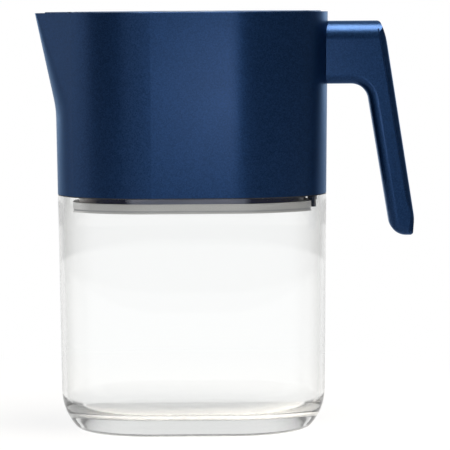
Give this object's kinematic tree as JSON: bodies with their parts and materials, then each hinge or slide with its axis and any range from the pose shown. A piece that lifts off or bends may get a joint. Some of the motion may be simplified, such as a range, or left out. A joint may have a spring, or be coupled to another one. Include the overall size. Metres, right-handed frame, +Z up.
{
  "type": "water filter pitcher",
  "caption": "Oval water filter pitcher with a clear jug, dark upper body with spout and side handle, lift-out reservoir with filter, and a lid with fill door, spout flap and light wand.",
  "frame": {"origin": "middle of the jug's flat base, on the surface it stands on", "axes": "+Z up, +X from the spout towards the handle, +Y across the pitcher to the far side"},
  "size_m": [0.2438, 0.127, 0.27],
  "materials": {
    "blue_satin": "satin metallic paint",
    "clear_plastic": "clear, polished",
    "smoke_plastic": "smoke tint, polished",
    "pale_plastic": "frosted",
    "black_rubber": "matt",
    "steel": "brushed",
    "filter_plastic": "matt",
    "filter_granules": "granular",
    "filter_felt": "felt",
    "filter_mesh": "woven mesh",
    "dark_plastic": "fine texture",
    "light_ring": "translucent",
    "button_plastic": "satin",
    "board": "coated",
    "cell_wrap": "film wrap",
    "copper_lead": "bright",
    "aluminium": "machined",
    "window_glass": "polished"
  },
  "bodies": {
    "pitcher": {"jug": "clear_plastic", "joint_gasket": "black_rubber", "upper_body": "blue_satin", "handle_body": "blue_satin", "handle_back_cover": "blue_satin", "handle_screws": "steel", "screw_washers": "black_rubber"},
    "reservoir": {"reservoir": "smoke_plastic", "reservoir_base": "pale_plastic", "vent_plug": "black_rubber"},
    "filter": {"filter_shell": "filter_plastic", "filter_cap": "filter_plastic", "filter_media": "filter_granules", "filter_pad": "filter_felt", "filter_screen": "filter_mesh", "filter_seal": "black_rubber"},
    "lid": {"lid_shell": "blue_satin", "lid_seal": "black_rubber", "fill_door_pin": "steel", "spout_flap_pin": "steel", "fill_door_seal": "black_rubber"},
    "fill_door": {"fill_door": "blue_satin"},
    "spout_flap": {"spout_flap": "blue_satin"},
    "wand": {"wand_head": "dark_plastic", "wand_tube": "steel", "light_ring": "light_ring", "circuit_board": "board", "button_switch": "dark_plastic", "charge_board": "board", "charge_port": "steel", "charge_flap_pin": "steel", "battery": "cell_wrap", "battery_ribbon": "copper_lead", "lamp_heat_sink": "aluminium", "lamp_board": "board", "wand_end_cap": "dark_plastic", "window_seal": "black_rubber", "wand_window": "window_glass", "head_seal": "black_rubber"},
    "wand_button": {"wand_button": "button_plastic"},
    "charge_flap": {"charge_flap": "black_rubber"}
  },
  "joints": [
    {"name": "reservoir_lift", "type": "slide", "parent": "pitcher", "child": "reservoir", "axis": [0, 0, 1], "range_m": [0, 0.135]},
    {"name": "filter_drop", "type": "slide", "parent": "reservoir", "child": "filter", "axis": [0, 0, -1], "range_m": [0, 0.07]},
    {"name": "lid_lift", "type": "slide", "parent": "reservoir", "child": "lid", "axis": [0, 0, 1], "range_m": [0, 0.03]},
    {"name": "fill_door_hinge", "type": "hinge", "parent": "lid", "child": "fill_door", "pos_m": [0.07401, 0, 0.268], "axis": [0, 1, 0], "range_deg": [0, 100]},
    {"name": "spout_flap_hinge", "type": "hinge", "parent": "lid", "child": "spout_flap", "pos_m": [-0.07591, 0, 0.268], "axis": [0, 1, 0], "range_deg": [0, 60]},
    {"name": "wand_lift", "type": "slide", "parent": "lid", "child": "wand", "axis": [0, 0, 1], "range_m": [0, 0.125]},
    {"name": "wand_button_press", "type": "slide", "parent": "wand", "child": "wand_button", "axis": [0, 0, -1], "range_m": [0, 0.0012], "stiffness_N_per_m": 1500, "springref_m": -0.0004},
    {"name": "charge_flap_hinge", "type": "hinge", "parent": "wand", "child": "charge_flap", "pos_m": [0, -0.01865, 0.252], "axis": [-1, 0, 0], "range_deg": [0, 95]}
  ]
}
